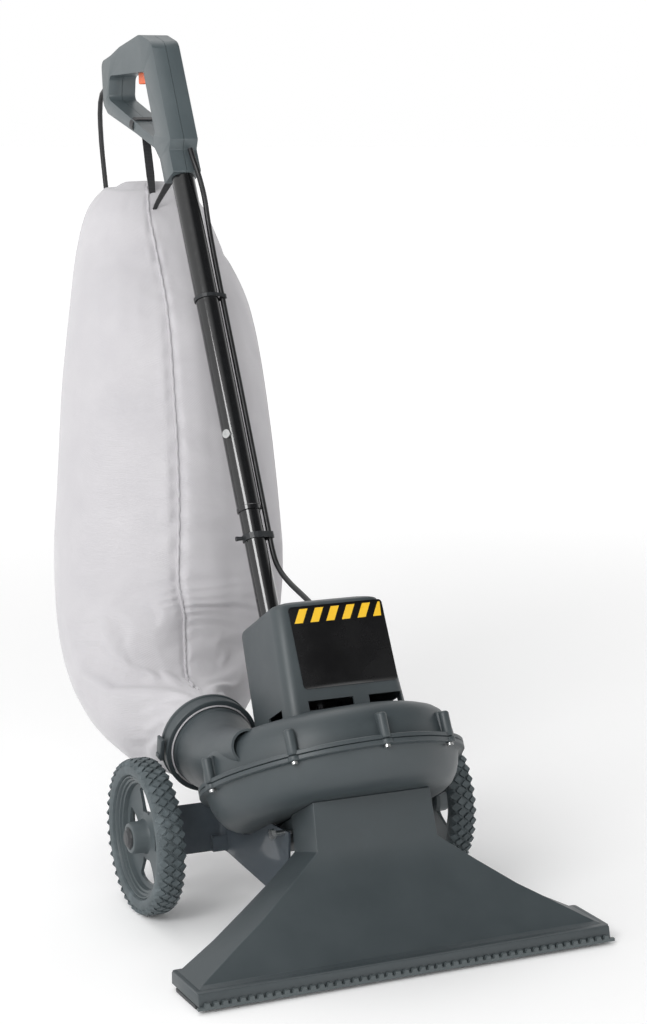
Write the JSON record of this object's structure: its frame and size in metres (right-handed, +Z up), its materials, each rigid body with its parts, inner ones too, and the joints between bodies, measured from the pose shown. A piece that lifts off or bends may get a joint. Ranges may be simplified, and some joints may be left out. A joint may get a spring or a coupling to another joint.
{
  "type": "upright vacuum cleaner",
  "caption": "Walk-behind bag sweeper vacuum: wide floor nozzle, fan housing, motor, rear cloth bag, two wheels and a leaning tube handle with a switch grip.",
  "frame": {"origin": "on the floor, at the middle of the machine's footprint without its free cord", "axes": "-Y is the way it is pushed (the nozzle's side), +Z up, +X to the machine's right seen from behind the handle"},
  "size_m": [0.552, 1.0591, 1.1121],
  "materials": {
    "charcoal": "fine matt texture",
    "black_plastic": "satin",
    "black_paint": "gloss over steel",
    "label": "printed film",
    "orange": "satin",
    "felt": "felted cloth",
    "webbing": "woven strap",
    "tyre": "moulded tread",
    "cord": "smooth sheath",
    "zinc": "zinc plated",
    "steel": "bare",
    "copper": "bare copper segments",
    "carbon": "pressed carbon"
  },
  "bodies": {
    "machine": {"axle": "zinc", "bag_clamp_ring": "charcoal", "bearing_lower": "zinc", "bearing_upper": "zinc", "brush_left": "carbon", "brush_right": "carbon", "chassis_bracket": "black_paint", "cord_clip": "black_plastic", "cord_gland": "black_plastic", "cord_strain_relief": "black_plastic", "cord_tie": "black_plastic", "cover_label": "label", "dust_bag": "felt", "end_bracket": "steel", "floor_nozzle": "charcoal", "grip_left": "charcoal", "grip_right": "charcoal", "grip_screw_1": "zinc", "grip_screw_2": "zinc", "handle_socket": "charcoal", "hanger_strap": "webbing", "harness_cord": "cord", "hood_bolt_left": "zinc", "hood_bolt_right": "zinc", "lower_tube": "black_paint", "lower_volute": "charcoal", "motor_cover": "charcoal", "motor_plate": "steel", "nozzle_lip_strip": "charcoal", "power_cord": "cord", "power_cord_coil": "cord", "power_plug": "cord", "skid_left": "black_plastic", "skid_right": "black_plastic", "socket_bolt": "zinc", "stator_core": "steel", "switch_body": "black_plastic", "tube_bolt": "zinc", "tube_nut": "zinc", "upper_tube": "black_paint", "upper_volute": "charcoal", "volute_screw_1": "zinc", "volute_screw_2": "zinc", "volute_screw_3": "zinc", "volute_screw_4": "zinc", "volute_screw_5": "zinc", "volute_screw_6": "zinc"},
    "wheel_left": {"tyre_left": "tyre", "hub_left": "charcoal", "hub_cap_left": "black_plastic"},
    "wheel_right": {"tyre_right": "tyre", "hub_right": "charcoal", "hub_cap_right": "black_plastic"},
    "rotor": {"motor_shaft": "steel", "armature_core": "steel", "commutator": "copper", "cooling_fan": "black_plastic", "impeller": "black_plastic"},
    "switch": {"switch_trigger": "orange"},
    "latch": {"clamp_latch": "charcoal"}
  },
  "joints": [
    {"name": "wheel_left_spin", "type": "hinge", "parent": "machine", "child": "wheel_left", "pos_m": [0, -0.1385, 0.1], "axis": [1, 0, 0], "continuous": true},
    {"name": "wheel_right_spin", "type": "hinge", "parent": "machine", "child": "wheel_right", "pos_m": [0, -0.1385, 0.1], "axis": [1, 0, 0], "continuous": true},
    {"name": "rotor_spin", "type": "hinge", "parent": "machine", "child": "rotor", "pos_m": [0, -0.2668, 0.193], "axis": [0, 0.4733, 0.8809], "continuous": true},
    {"name": "switch_press", "type": "slide", "parent": "machine", "child": "switch", "axis": [0, 0.0249, 0.9997], "range_m": [0, 0.004], "stiffness_N_per_m": 600, "springref_m": -0.003},
    {"name": "latch_open", "type": "hinge", "parent": "machine", "child": "latch", "pos_m": [-0.1718, -0.1148, 0.2195], "axis": [0, 0.9877, 0.1564], "range_deg": [0, 70]}
  ]
}
